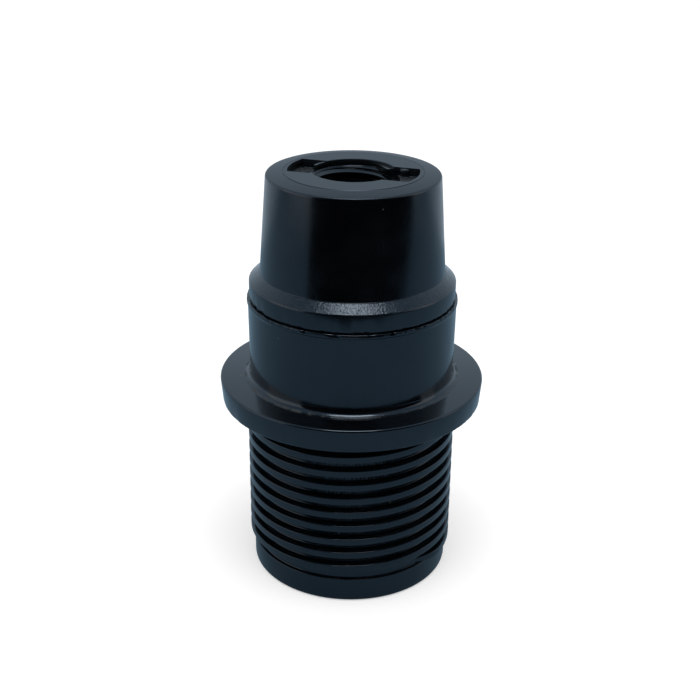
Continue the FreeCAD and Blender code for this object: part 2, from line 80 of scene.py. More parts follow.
# skirt
LEAD_RING_R = 13.2
LEAD_RING_Z = MOUTH_Z + 3.35
SKIRT_BORE_R = 11.2
FLANGE_Z = MOUTH_Z + 24.35
FLANGE_TAPER = 0.28            # how far the flange's lower edge stands in
COLLAR_Z = FLANGE_Z + 3.05     # top of the flange, foot of the collar
COLLAR_FOOT_R = 13.3
COLLAR_FILLET = 0.95
COLLAR_R = 13.42
LIP_R = 13.54
LIP_Z = COLLAR_TOP_Z - 0.62
COLLAR_BORE_R = 12.05
SEAT_RELIEF_R = 13.9
SEAT_RELIEF = 0.25
LEDGE_Z = MOUTH_Z + 28.0       # the insert stands on it
LEDGE_R = 10.0
LEDGE_THICKNESS = 2.4

# cap
RIM_Z = COLLAR_TOP_Z + 0.14
RIM_R = 13.23
SHOULDER_Z = COLLAR_TOP_Z + 2.32
CONE_Z = SHOULDER_Z + 1.15
CONE_R = 11.82
CROWN_EDGE_Z = CROWN_Z - 0.35
CROWN_EDGE_R = 10.92
GROOVE_R = 8.72
GROOVE = 0.1
SPIGOT_R = 11.75
SPIGOT_BORE_R = 10.1
CAVITY_Z = CROWN_Z - 7.4
CAVITY_R = 8.7
ENTRY_R = 4.46
ENTRY_ROOT_R = 4.98
ENTRY_PITCH = 1.0
COUNTERBORE_R = 5.25
COUNTERBORE_Z = CROWN_Z - 0.85
ENTRY_Z = COUNTERBORE_Z - 0.42
SLOT_WIDTH = 6.0
SLOT_END_R = 8.2
SLOT_Z = CROWN_Z - 1.15
SLOT_DEG = -16.0
SLOT_WALL_R = COUNTERBORE_R + 0.4
SLOT_WALL_Z = CROWN_Z - 0.85
FIN_R = COUNTERBORE_R + 0.35
FIN_ENDS_DEG = (-6, 24)        # from the slot's rear corner, round the entry
BURR_Z = CROWN_Z - 0.1
TOOTH_Z = CROWN_Z - 0.3
TOOTH_REACH = 0.75             # how far its tip stands into the entry
TOOTH_BACK = 3.7               # its length along the counterbore's edge
RIB_R = 0.62
RIB_AT = 5.75                  # along the slot
PARTITION_Y = -2.7
PARTITION_GAP = 0.8            # half the room between a pair of key ribs
KEY_RIB = 1.2
KEY_RIB_REACH = 2.0

# the 2 mm thread between the collar and the cap's spigot
COLLAR_THREAD_R = 11.6         # crest inside the collar
SPIGOT_ROOT_R = 11.4
SPIGOT_THREAD_R = 11.93        # crest on the spigot
MATING_Z = LEDGE_Z + 4.1       # middle of the collar's lowest full ridge
MATING_DEG = 40.0
MATING_SIDES = 128
COLLAR_THREAD_RISE = 5.2
COLLAR_FADE_DEG = 40
SPIGOT_THREAD_RISE = 4.6
SPIGOT_FADE_DEG = 50

# screw shell
SHELL_R = 6.6                  # inner surface, midway between root and crest
SHELL_WAVE = 0.4
SHELL_PITCH = 2.822
SHELL_TURNS = 5
SHELL_RINGS = 14               # rings in a turn
SHELL_FADE = 0.4               # part of a turn over which the thread rises from the plain sheet
SHELL_SIDES = 144
SHELL_SHEET = 0.35
SHELL_BEND = 0.8
SHELL_RIM_R = 6.0
SHELL_LUG_R = 3.6
SHELL_LUG_WIDTH = 3.4

# centre contact's spring
SPRING_WIRE = 0.32
SPRING_TURNS = 4
WIRE_SIDES = 12
COIL_SIDES = 48

# rivets
neutral_rivet_low, neutral_rivet_high = [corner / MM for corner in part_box("neutral_shell_rivet")]
blank_rivet_low, blank_rivet_high = [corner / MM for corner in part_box("blank_shell_rivet")]
NEUTRAL_RIVET = (neutral_rivet_low + neutral_rivet_high).xy / 2
BLANK_RIVET = (blank_rivet_low + blank_rivet_high).xy / 2
LUG_HOLE_R = 0.92
RIVET_SHANK_R = 0.9
RIVET_HEAD = 0.6
RIVET_EDGE = 0.35              # the part of a head's height that is straight, under its dome

# camera: 0.15 m in front and above the flange, looking down
LENS_MM = 62.9
SENSOR_MM = 36.0
SHIFT = (-0.0022, 0.0179)
CAMERA_AT = (0, -0.1467, 0.09584)
CAMERA_TILT_DEG = 24.64
CAMERA_ROLL_DEG = 0.63


# ---- modelling ----
def deselect():
    bpy.ops.object.select_all(action="DESELECT")


def choose(obj):
    """Makes this the only selected object, and the active one."""
    deselect()
    obj.select_set(True)
    bpy.context.view_layer.objects.active = obj


def edit(obj):
    choose(obj)
    bpy.ops.object.mode_set(mode="EDIT")
    bpy.ops.mesh.select_all(action="SELECT")


def smooth(obj, degrees=SMOOTH_DEG):
    choose(obj)
    bpy.ops.object.shade_smooth_by_angle(angle=math.radians(degrees))
    return obj


def done(obj):
    """Leaves edit mode with the place in the mesh, outward faces and smooth shading."""
    bpy.ops.mesh.select_all(action="SELECT")
    bpy.ops.mesh.remove_doubles(threshold=2e-7)
    bpy.ops.mesh.normals_make_consistent(inside=False)
    bpy.ops.object.mode_set(mode="OBJECT")
    bpy.ops.object.transform_apply(location=True, rotation=True, scale=True)
    return smooth(obj)


def rounded(corners, steps=4):
    """Outline points from corners: (r, z) is sharp, and (r, z, radius) becomes an arc."""
    points = []
    count = len(corners)
    for i, corner in enumerate(corners):
        here = Vector(corner[:2])
        radius = corner[2] if len(corner) > 2 else 0
        if not radius:
            points.append(tuple(here))
            continue
        before = (Vector(corners[i - 1][:2]) - here).normalized()
        after = (Vector(corners[(i + 1) % count][:2]) - here).normalized()
        half = before.angle(after) / 2
        centre = here + (before + after).normalized() * (radius / math.sin(half))
        start = here + before * (radius / math.tan(half)) - centre
        end = here + after * (radius / math.tan(half)) - centre
        sweep = start.angle_signed(end)
        for step in range(steps + 1):
            turn = Matrix.Rotation(-sweep * step / steps, 2)
            points.append(tuple(centre + turn @ start))
    return points


def rings(name, outline, sides):
    """A circle, extruded ring by ring through an outline's (r, z) points, and left in edit mode."""
    deselect()
    r, z = outline[0]
    bpy.ops.mesh.primitive_circle_add(vertices=sides, radius=r * MM, location=(0, 0, z * MM))
    obj = bpy.context.object
    obj.name = name
    edit(obj)
    for next_r, next_z in outline[1:]:
        bpy.ops.mesh.extrude_region_move(
            TRANSFORM_OT_translate={"value": (0, 0, (next_z - z) * MM)})
        bpy.ops.transform.resize(value=(next_r / r, next_r / r, 1), center_override=(0, 0, 0))
        r, z = next_r, next_z
    return obj


def turned(name, outline, sides=SIDES):
    """A body of revolution round a closed outline."""
    return done(rings(name, outline + outline[:1], sides))


def solid_turned(name, outline, sides=48, at=(0, 0)):
    """A turned body that is solid to its axis: rings from end to end, and both ends closed."""
    obj = rings(name, outline, sides)
    bpy.ops.mesh.select_all(action="SELECT")
    bpy.ops.mesh.fill_holes(sides=0)
    bpy.ops.transform.translate(value=(at[0] * MM, at[1] * MM, 0))
    return done(obj)


def prism(name, corners, z0, z1, turn_deg=0.0):
    """A straight block over an outline in plan, turned about the axis."""
    deselect()
    bpy.ops.mesh.primitive_circle_add(vertices=len(corners), radius=MM, fill_type="NGON")
    obj = bpy.context.object
    obj.name = name
    for vertex, (x, y) in zip(obj.data.vertices, corners):
        vertex.co = (x * MM, y * MM, z0 * MM)
    edit(obj)
    bpy.ops.mesh.extrude_region_move(TRANSFORM_OT_translate={"value": (0, 0, (z1 - z0) * MM)})
    bpy.ops.mesh.select_all(action="SELECT")
    bpy.ops.transform.rotate(value=-math.radians(turn_deg), orient_axis="Z",
                             center_override=(0, 0, 0))
    return done(obj)


def bar(name, x0, x1, y0, y1, z0, z1, turn_deg=0.0):
    return prism(name, [(x0, y0), (x1, y0), (x1, y1), (x0, y1)], z0, z1, turn_deg)


def disc(name, r, z0, z1, at=(0, 0), sides=SIDES):
    turns = [2 * math.pi * i / sides for i in range(sides)]
    circle = [(at[0] + r * math.cos(turn), at[1] + r * math.sin(turn)) for turn in turns]
    return prism(name, circle, z0, z1)


def along_slot(x, y):
    """A point given along and across the crown's slot, in plan."""
    turn = math.radians(SLOT_DEG)
    return (x * math.cos(turn) - y * math.sin(turn), x * math.sin(turn) + y * math.cos(turn))


def helical_ridge(name, section, pitch, rise, start_z, start_deg, fades=(0, 0), sink=0.0,
                  sides=96):
    """A closed section wound up along a helix.

    It sinks by `sink` mm into the body that it is on, over `fades` degrees at its two ends.
    """
    deselect()
    bpy.ops.mesh.primitive_circle_add(vertices=len(section), radius=MM)
    obj = bpy.context.object
    obj.name = name
    for vertex, (r, z) in zip(obj.data.vertices, section):
        vertex.co = (r * MM, 0, (start_z + z) * MM)
    turns = rise / pitch
    steps = round(sides * turns)
    screw = obj.modifiers.new("winding", "SCREW")
    screw.angle = 2 * math.pi * turns
    screw.screw_offset = rise * MM
    screw.steps = screw.render_steps = steps
    bpy.ops.object.modifier_apply(modifier="winding")
    count = len(section)
    for vertex in obj.data.vertices:
        turned_deg = 360 * turns * (vertex.index // count) / steps
        left_deg = 360 * turns - turned_deg
        low = 0.0
        for fade, along in zip(fades, (turned_deg, left_deg)):
            if fade and along < fade:
                low = max(low, 0.5 + 0.5 * math.cos(math.pi * along / fade))
        r = math.hypot(vertex.co.x, vertex.co.y)
        vertex.co.x *= 1 - low * sink * MM / r
        vertex.co.y *= 1 - low * sink * MM / r
    edit(obj)
    bpy.ops.mesh.fill_holes(sides=0)
    bpy.ops.transform.rotate(value=-math.radians(start_deg), orient_axis="Z",
                             center_override=(0, 0, 0))
    return done(obj)


def combine(obj, other, operation):
    """Joins another closed body to this one, or cuts it away."""
    choose(obj)
    tool = obj.modifiers.new("joint", "BOOLEAN")
    tool.operation = operation
    tool.solver = "MANIFOLD"
    tool.object = other
    bpy.ops.object.modifier_apply(modifier="joint")
    bpy.data.objects.remove(other)
    obj.data.materials.clear()
    return obj


def chip(obj, r, z, reach, depth, spacing, threshold, seed):
    """Small chips along a moulded edge at (r, z): its vertices move in where a noise is high.

    A chip is up to `depth` mm deep and about `spacing` mm long. It has its full depth where the
    noise is `full` over the threshold, and it takes `slump` of its depth off the height as well.
    """
    full, slump = 0.3, 0.6
    offset = seed * Vector((7.3, 3.1, 1.7))
    for vertex in obj.data.vertices:
        x, y, height = vertex.co / MM
        if math.hypot(math.hypot(x, y) - r, height - z) > reach:
            continue
        rough = noise.noise(Vector((x, y, height * 0.3)) / spacing + offset) - threshold
        if rough > 0:
            taken = depth * min(1, rough / full)
            shrink = 1 - taken / math.hypot(x, y)
            vertex.co.x *= shrink
            vertex.co.y *= shrink
            vertex.co.z -= slump * taken * MM * (1 if height > z - reach / 4 else -1)


# ---- moulded skirt ----
def barrel_section():
    """Rounded flat-topped ridge with a fillet at each foot, about its own middle height."""
    foot = ROOT_R - 0.01           # just under the body's surface, so that the two overlap
    half_base = BASE_WIDTH / 2
    flare = 0.2
    half = rounded([
        (foot, half_base + flare), (ROOT_R + 0.02, half_base + 0.04, ROOT_FILLET),
        (CREST_R, CREST_WIDTH / 2, CREST_EDGE), (CREST_R, 0)], steps=5)[:-1]
    return [(r, -z) for r, z in half] + [(r, z) for r, z in reversed(half)]


def ridge_outline(base_r, crest_r, base_width, crest_width, edge_r=0.08):
    """Section of a thread's ridge from its hidden base to its crest, about its middle height."""
    half = rounded([(base_r, base_width / 2), (crest_r, crest_width / 2, edge_r), (crest_r, 0)],
                   steps=3)[:-1]
    return [(r, -z) for r, z in half] + [(r, z) for r, z in reversed(half)]


def skirt():
    """Mouth, lead ring, barrel, flange, collar and ledge in one turned body, and its two threads.

    An extra ring beside each chipped edge keeps the wall beyond it smooth.
    """
    ledge_foot_z = LEDGE_Z - LEDGE_THICKNESS
    body = turned("skirt", rounded([
        (SKIRT_BORE_R, MOUTH_Z, 0.35), (LEAD_RING_R, MOUTH_Z, 0.5),
        (LEAD_RING_R, LEAD_RING_Z, 0.1), (ROOT_R, LEAD_RING_Z + 0.06, ROOT_FILLET),
        (ROOT_R, FLANGE_Z + SEAT_RELIEF), (SEAT_RELIEF_R, FLANGE_Z + SEAT_RELIEF),
        (SEAT_RELIEF_R, FLANGE_Z), (FLANGE_R - FLANGE_TAPER, FLANGE_Z, 0.12),
        (FLANGE_R - 0.248, FLANGE_Z + 0.35),
        (FLANGE_R, COLLAR_Z, 0.25), (COLLAR_FOOT_R, COLLAR_Z, COLLAR_FILLET),
        (COLLAR_R, LIP_Z, 0.3), (LIP_R, LIP_Z + 0.12, 0.1),
        (LIP_R, COLLAR_TOP_Z - 0.33), (LIP_R, COLLAR_TOP_Z, 0.1),
        (LIP_R - 0.4, COLLAR_TOP_Z), (COLLAR_BORE_R, COLLAR_TOP_Z, 0.15),
        (COLLAR_BORE_R, LEDGE_Z, 0.1), (LEDGE_R, LEDGE_Z, 0.15), (LEDGE_R, ledge_foot_z, 0.3),
        (SKIRT_BORE_R, ledge_foot_z - (SKIRT_BORE_R - LEDGE_R), 0.4)]))
    # the ridge starts a little early, sunk in the lead ring, and ends inside the flange
    drop = PITCH * THREAD_FADE_DEG / 360
    rise = FLANGE_Z + PITCH / 2 - THREAD_START_Z + drop
    ridge = helical_ridge("barrel_ridge", barrel_section(), PITCH, rise, THREAD_START_Z - drop,
                          THREAD_START_DEG - THREAD_FADE_DEG, fades=(THREAD_FADE_DEG, 0),
                          sink=CREST_R - ROOT_R, sides=THREAD_SIDES)
    combine(body, ridge, "UNION")
    inner_section = ridge_outline(COLLAR_BORE_R + 0.1, COLLAR_THREAD_R, base_width=1.1,
                                  crest_width=0.45)
    inner = helical_ridge("collar_ridge", inner_section, PITCH, COLLAR_THREAD_RISE, MATING_Z,
                          MATING_DEG, fades=(COLLAR_FADE_DEG, COLLAR_FADE_DEG),
                          sink=COLLAR_THREAD_R - COLLAR_BORE_R, sides=MATING_SIDES)
    combine(body, inner, "UNION")
    chip(body, LIP_R, COLLAR_TOP_Z, reach=0.3, depth=0.15, spacing=0.5, threshold=0.1, seed=3)
    chip(body, FLANGE_R - FLANGE_TAPER, FLANGE_Z, reach=0.2, depth=0.09, spacing=0.6,
         threshold=0.15, seed=5)
    return smooth(body)


# ---- moulded cap ----
def slot_pockets():
    """What is taken out of the crown: a bar ended by one circle, less the low wall on its left."""
    half = SLOT_WIDTH / 2
    above = CROWN_Z + 1
    pockets = bar("slot", -SLOT_END_R - 1, SLOT_END_R + 1, -half, half, SLOT_Z, above, SLOT_DEG)
    combine(pockets, disc("slot_ends", SLOT_END_R, SLOT_Z - 1, above + 1), "INTERSECT")
    wall = disc("low_wall", SLOT_WALL_R, SLOT_Z - 1, SLOT_WALL_Z)
    left_half = bar("left_half", -SLOT_END_R, 0, -half - 1, half + 1, SLOT_Z - 2, above, SLOT_DEG)
    combine(wall, left_half, "INTERSECT")
    return combine(pockets, wall, "DIFFERENCE")


def wall_fin():
    """Thin fin left on the low wall, at the slot's rear edge: a ring, cut to 30 degrees."""
    fin = disc("fin", FIN_R, SLOT_WALL_Z - 0.05, BURR_Z)
    combine(fin, disc("fin_bore", COUNTERBORE_R, SLOT_WALL_Z - 1, CROWN_Z + 1), "DIFFERENCE")
    start = 180 - math.degrees(math.asin(SLOT_WIDTH / 2 / COUNTERBORE_R))
    reach = 2 * COUNTERBORE_R
    ends = [math.radians(start + step) for step in FIN_ENDS_DEG]
    wedge = [(0, 0)] + [(reach * math.cos(end), reach * math.sin(end)) for end in ends]
    return combine(fin, prism("fin_wedge", wedge, SLOT_WALL_Z - 1, CROWN_Z + 1, SLOT_DEG),
                   "INTERSECT")


def locking_tooth():
    """Three-cornered tooth beside the right pocket that bites the threaded tube."""
    half = SLOT_WIDTH / 2
    root = math.sqrt(COUNTERBORE_R ** 2 - half ** 2)
    tip = along_slot(root - TOOTH_REACH, half - 0.25)
    corner = along_slot(root + 0.2, half + 0.2)
    back_turn = math.atan2(corner[1], corner[0]) + TOOTH_BACK / COUNTERBORE_R
    back_r = COUNTERBORE_R + 0.1
    back = (back_r * math.cos(back_turn), back_r * math.sin(back_turn))
    bulge = along_slot(root + 0.4, half + 1.6)
    return prism("tooth", [tip, corner, bulge, back], ENTRY_Z + 0.21, TOOTH_Z)


def slot_rib():
    """Half-round rib on the right pocket's rear wall, with a rounded end."""
    side = rounded([(RIB_R, SLOT_Z - 0.1), (RIB_R, BURR_Z, 0.2), (0.1, BURR_Z + 0.03)], steps=3)
    return solid_turned("slot_rib", side[:-2] + [(0.3, BURR_Z)], 32,
                        along_slot(RIB_AT, SLOT_WIDTH / 2))


def key_ribs(body):
    """Two pairs of ribs, rooted in the cavity's wall, that hold the insert's partition."""
    for side in (-1, 1):
        ends = sorted((side * (SPIGOT_BORE_R - KEY_RIB_REACH), side * (SPIGOT_BORE_R + 0.8)))
        for y0 in (PARTITION_Y + PARTITION_GAP, PARTITION_Y - PARTITION_GAP - KEY_RIB):
            rib = bar("key_rib", ends[0], ends[1], y0, y0 + KEY_RIB, SPIGOT_Z + 0.8, CAVITY_Z + 0.8)
            combine(rib, disc("rib_limit", SPIGOT_BORE_R + 0.5, SPIGOT_Z, CROWN_Z), "INTERSECT")
            combine(body, rib, "UNION")


def cap():
    """Spigot, rim, shoulder, cone and crown in one turned body, and all that is in the crown."""
    body = turned("cap", rounded([
        (SPIGOT_BORE_R, SPIGOT_Z, 0.2), (SPIGOT_ROOT_R, SPIGOT_Z, 0.3),
        (SPIGOT_ROOT_R, RIM_Z - 0.6, 0.2), (SPIGOT_R, RIM_Z - 0.2), (SPIGOT_R, RIM_Z, 0.1),
        (RIM_R - 0.4, RIM_Z), (RIM_R, RIM_Z, 0.08), (RIM_R, RIM_Z + 0.4),
        (RIM_R, SHOULDER_Z, 0.2), (CONE_R, CONE_Z, 0.12),
        (CROWN_EDGE_R, CROWN_EDGE_Z, 0.35), (GROOVE_R + GROOVE, CROWN_Z - GROOVE / 2),
        (GROOVE_R, CROWN_Z - GROOVE), (GROOVE_R - GROOVE, CROWN_Z),
        (GROOVE_R - 2 * GROOVE, CROWN_Z), (COUNTERBORE_R + 0.3, CROWN_Z),
        (COUNTERBORE_R, CROWN_Z, 0.08), (COUNTERBORE_R, COUNTERBORE_Z, 0.1),
        (ENTRY_R, ENTRY_Z), (ENTRY_R, CAVITY_Z + 0.6), (ENTRY_R + 0.6, CAVITY_Z),
        (CAVITY_R, CAVITY_Z, 1.2), (SPIGOT_BORE_R, CONE_Z, 1.0)]))
    key_ribs(body)
    combine(body, slot_pockets(), "DIFFERENCE")
    for piece in (wall_fin(), locking_tooth(), slot_rib()):
        combine(body, piece, "UNION")
    groove_section = ridge_outline(ENTRY_R - 0.3, ENTRY_ROOT_R, base_width=1.05, crest_width=0.2,
                                   edge_r=0.04)
    # the entry's thread runs out past both its ends
    groove = helical_ridge("entry_groove", groove_section, ENTRY_PITCH, ENTRY_Z - CAVITY_Z + 1.6,
                           CAVITY_Z - 1.0, 0.0)
    combine(body, groove, "DIFFERENCE")
    # half a pitch from the collar's ridge, so that it lies in the collar's groove
    outer_section = ridge_outline(SPIGOT_ROOT_R - 0.1, SPIGOT_THREAD_R, base_width=1.0,
                                  crest_width=0.45)
    ridge = helical_ridge("spigot_ridge", outer_section, PITCH, SPIGOT_THREAD_RISE,
                          MATING_Z - PITCH / 2, MATING_DEG,
                          fades=(SPIGOT_FADE_DEG, SPIGOT_FADE_DEG),
                          sink=SPIGOT_THREAD_R - SPIGOT_ROOT_R, sides=MATING_SIDES)
    combine(body, ridge, "UNION")
    chip(body, RIM_R, RIM_Z, reach=0.25, depth=0.14, spacing=0.45, threshold=0.12, seed=8)
    return smooth(body)


# ---- screw shell and rivets ----
def screw_shell():
    """Rolled sheet: a plain lead, the round thread, an end turned in, and two riveted lugs."""
    top_z = shell_high.z - SHELL_SHEET - SHELL_BEND
    foot_z = top_z - SHELL_TURNS * SHELL_PITCH
    outline = [(SHELL_R, shell_low.z), (SHELL_R, foot_z)]
    steps = SHELL_TURNS * SHELL_RINGS
    outline += [(SHELL_R, foot_z + (top_z - foot_z) * i / steps) for i in range(1, steps + 1)]
    bend = SHELL_BEND - SHELL_SHEET
    outline += [(SHELL_R - bend * (1 - math.cos(a)),
                 top_z + SHELL_BEND - bend + bend * math.sin(a))
                for a in (0, 0.52, 1.05, math.pi / 2)]
    outline.append((SHELL_RIM_R, top_z + SHELL_BEND))
    shell = done(rings("screw_shell_rolled", outline, SHELL_SIDES))
    for vertex in shell.data.vertices:
        x, y, height = vertex.co / MM
        if not foot_z - 0.01 < height < top_z + 0.01:
            continue
        turns = (height - foot_z) / SHELL_PITCH
        fade = min(1, turns / SHELL_FADE, (SHELL_TURNS - turns) / SHELL_FADE)
        wave = -SHELL_WAVE * math.cos(2 * math.pi * turns - math.atan2(y, x)) * fade
        scale = 1 + wave / math.hypot(x, y)
        vertex.co.x *= scale
        vertex.co.y *= scale
    sheet = shell.modifiers.new("sheet", "SOLIDIFY")
    sheet.thickness = SHELL_SHEET * MM
    sheet.offset = 1
    choose(shell)
    bpy.ops.object.modifier_apply(modifier="sheet")
    for rivet_at in (NEUTRAL_RIVET, BLANK_RIVET):
        half = SHELL_LUG_WIDTH / 2
        lug = bar("lug", SHELL_LUG_R, SHELL_RIM_R + SHELL_SHEET, -half, half,
                  shell_high.z - SHELL_SHEET, shell_high.z,
                  math.degrees(math.atan2(rivet_at.y, rivet_at.x)))
        combine(shell, lug, "UNION")
        hole = disc("lug_hole", LUG_HOLE_R, shell_high.z - 2, shell_high.z + 1, rivet_at, 48)
        combine(shell, hole, "DIFFERENCE")
    return smooth(shell, degrees=40)


def rivet(name, cad_node):
    """Round shank with a domed head at each end."""
    low, high = [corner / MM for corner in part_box(cad_node)]
    head_r = (high.x - low.x) / 2
    dome = [(head_r * math.cos(a), RIVET_HEAD * (RIVET_EDGE + (1 - RIVET_EDGE) * math.sin(a)))
            for a in [math.pi / 2 * i / 6 for i in range(6)]]
    outline = [(r, low.z + RIVET_HEAD - h) for r, h in reversed(dome)]
    outline += [(head_r, low.z + RIVET_HEAD), (RIVET_SHANK_R, low.z + RIVET_HEAD),
                (RIVET_SHANK_R, high.z - RIVET_HEAD), (head_r, high.z - RIVET_HEAD)]
    outline += [(r, high.z - RIVET_HEAD + h) for r, h in dome]
    return solid_turned(name, outline, 40, ((low.x + high.x) / 2, (low.y + high.y) / 2))


def contact_spring():
    """Coil of round wire between the pin's collar and the live terminal's plate."""
    coil_r = spring_high.x - SPRING_WIRE / 2
    wire = [(coil_r + SPRING_WIRE / 2 * math.cos(a), SPRING_WIRE / 2 * math.sin(a))
            for a in [2 * math.pi * i / WIRE_SIDES for i in range(WIRE_SIDES)]]
    rise = spring_high.z - spring_low.z - SPRING_WIRE
    return helical_ridge("contact_spring_coil", wire, rise / SPRING_TURNS, rise,
                         spring_low.z + SPRING_WIRE / 2, 0.0, sides=COIL_SIDES)


# ---- colours and nodes ----
def hex_colour(code):
    """Linear RGBA of an sRGB hex colour."""
    parts = [int(code[i:i + 2], 16) / 255 for i in (1, 3, 5)]
    return [c / 12.92 if c <= 0.04045 else ((c + 0.055) / 1.055) ** 2.4 for c in parts] + [1.0]


def node(tree, kind, links=(), **settings):
    """Adds a node with its settings and its links, each (input, source node, source output)."""
    made = tree.nodes.new(kind)
    for name, value in settings.items():
        if name.startswith("in_"):
            key = name[3:].replace("_", " ")
            made.inputs[int(key) if key.isdigit() else key].default_value = value
        else:
            setattr(made, name, value)
    for target, source, output in links:
        tree.links.new(source.outputs[output], made.inputs[target])
    return made


def new_material(name):
    material = bpy.data.materials.new(name)
    material.use_nodes = True
    tree = material.node_tree
    shader = tree.nodes["Principled BSDF"]
    return material, tree, shader


# ---- camera, light and floor ----
def camera():
    data = bpy.data.cameras.new("camera")
    obj = bpy.data.objects.new("camera", data)
    bpy.context.scene.collection.objects.link(obj)
    data.sensor_width = SENSOR_MM
    data.lens = LENS_MM
    data.shift_x, data.shift_y = SHIFT
    data.clip_start = 0.01
    data.clip_end = 20.0
    tilt = math.radians(CAMERA_TILT_DEG)
    look = Vector((0, math.cos(tilt), -math.sin(tilt)))
    aim = look.to_track_quat("-Z", "Y").to_matrix().to_4x4()
    roll = Matrix.Rotation(math.radians(CAMERA_ROLL_DEG), 4, "Z")
    obj.matrix_world = Matrix.Translation(CAMERA_AT) @ aim @ roll
    bpy.context.scene.camera = obj


def studio():
    """White room light, a soft strip overhead, a white floor, and cards for the gloss to show."""
    world = bpy.data.worlds.new("studio")
    bpy.context.scene.world = world
    world.use_nodes = True
    tree = world.node_tree
    tree.nodes.clear()
    light = node(tree, "ShaderNodeBackground", in_Color=(1, 1, 1, 1), in_Strength=0.85)
    white = node(tree, "ShaderNodeBackground", in_Color=(1, 1, 1, 1), in_Strength=1.0)
    mix = node(tree, "ShaderNodeMixShader",
               [("Fac", seen_directly(tree), 0), (1, light, 0), (2, white, 0)])
    node(tree, "ShaderNodeOutputWorld", [("Surface", mix, 0)])

    bpy.ops.mesh.primitive_plane_add(size=6, location=(0, 0, (MOUTH_Z - 0.01) * MM))
    floor = bpy.context.object
    floor.name = "floor"
    floor.data.materials.append(white_paper())

    # the dark part of the room, in front and on the right: the cone's black middle
    standing_card("black_card", 0.83, 0.17, (0.256, -0.12, 0.085), "#0A0505")
    # the pale wall behind: the crown's even grey
    standing_card("grey_sheet_behind", 1.6, 0.9, (0, 0.14, 0.45), "#BDD0E0", glow=1.0)
    # the ceiling: the shoulder's dim ends
    bpy.ops.mesh.primitive_plane_add(size=1.6, location=(0, -0.2, 0.6))
    bpy.context.object.name = "grey_ceiling"
    mirror_only(bpy.context.object, "#9CB3C6", glow=1.0)
    # painted shade of the floor: a dim blue-grey sheet under it, seen in reflections only, in place
    # of the white floor in shade; it gives the blue-grey of all the upright walls
    bpy.ops.mesh.primitive_circle_add(vertices=96, radius=1.5, fill_type="NGON",
                                      location=(0, 0, (MOUTH_Z - 0.005) * MM))
    bpy.context.object.name = "blue_grey_painted_floor_shade"
    mirror_only(bpy.context.object, "#7E9BAF")

    bpy.ops.object.light_add(type="AREA", location=(0.004, -0.11, 0.42))
    strip = bpy.context.object
    strip.name = "front_strip"
    strip.data.shape = "RECTANGLE"
    strip.data.size = 0.2
    strip.data.size_y = 0.13
    strip.data.energy = 0.6
    strip.rotation_euler = (math.radians(15), 0, 0)


def standing_card(name, width, height, at, colour, glow=0.0):
    """An upright card that faces front and back, seen in reflections only."""
    bpy.ops.mesh.primitive_plane_add(size=1)
    card = bpy.context.object
    card.name = name
    edit(card)
    bpy.ops.transform.resize(value=(width, height, 1))
    bpy.ops.transform.rotate(value=-math.pi / 2, orient_axis="X", center_override=(0, 0, 0))
    bpy.ops.transform.translate(value=at)
    bpy.ops.object.mode_set(mode="OBJECT")
    mirror_only(card, colour, glow)


def mirror_only(card, colour, glow=0.0):
    """Makes a card, matt or lit through, that shows in the object's gloss and nowhere else."""
    material, tree, shader = new_material(card.name)
    shader.inputs["Base Color"].default_value = hex_colour("#000000" if glow else colour)
    shader.inputs["Roughness"].default_value = 1.0
    shader.inputs["Specular IOR Level"].default_value = 0.0
    shader.inputs["Emission Color"].default_value = hex_colour(colour)
    shader.inputs["Emission Strength"].default_value = glow
    card.data.materials.append(material)
    for kind in ("camera", "diffuse", "transmission", "volume_scatter", "shadow"):
        setattr(card, "visible_" + kind, False)


def seen_directly(tree):
    """1 on camera, mirror and glass rays, 0 on the rays that carry light to the object."""
    path = node(tree, "ShaderNodeLightPath")
    seen = node(tree, "ShaderNodeMath", [(0, path, "Is Camera Ray"), (1, path, "Is Glossy Ray")],
                operation="MAXIMUM")
    return node(tree, "ShaderNodeMath", [(0, seen, 0), (1, path, "Is Transmission Ray")],
                operation="MAXIMUM")


def white_paper():
    """Matt white paper that takes the object's soft shadow.

    Seen directly it also glows a little, so that it is bare white away from the shadow.
    """
    material, tree, shader = new_material("white_paper")
    shader.inputs["Base Color"].default_value = hex_colour("#D8D8D8")
    shader.inputs["Roughness"].default_value = 1.0
    shader.inputs["Specular IOR Level"].default_value = 0.0
    glow = node(tree, "ShaderNodeEmission", in_Color=(1, 1, 1, 1), in_Strength=0.4)
    dark = node(tree, "ShaderNodeEmission", in_Color=(0, 0, 0, 1), in_Strength=0.0)
    lift = node(tree, "ShaderNodeMixShader",
                [("Fac", seen_directly(tree), 0), (1, dark, 0), (2, glow, 0)])
    both = node(tree, "ShaderNodeAddShader", [(0, shader, 0), (1, lift, 0)])
    tree.links.new(both.outputs[0], tree.nodes["Material Output"].inputs["Surface"])
    return material


# ---- materials ----
def per_mm(size):
    """Scale of a pattern on Object coordinates (metres) whose grain is `size` millimetres."""
    return 1 / (size * MM)


def place(tree):
    """Object coordinates, and the outputs that give height and distance from the axis in mm."""
    coords = node(tree, "ShaderNodeTexCoord")
    scaled = node(tree, "ShaderNodeVectorMath", [(0, coords, "Object")], operation="SCALE",
                  in_Scale=1 / MM)
    axes = node(tree, "ShaderNodeSeparateXYZ", [(0, scaled, 0)])
    flat = node(tree, "ShaderNodeCombineXYZ", [("X", axes, "X"), ("Y", axes, "Y")])
    length = node(tree, "ShaderNodeVectorMath", [(0, flat, 0)], operation="LENGTH")
    return coords, (axes, "Z"), (length, "Value")


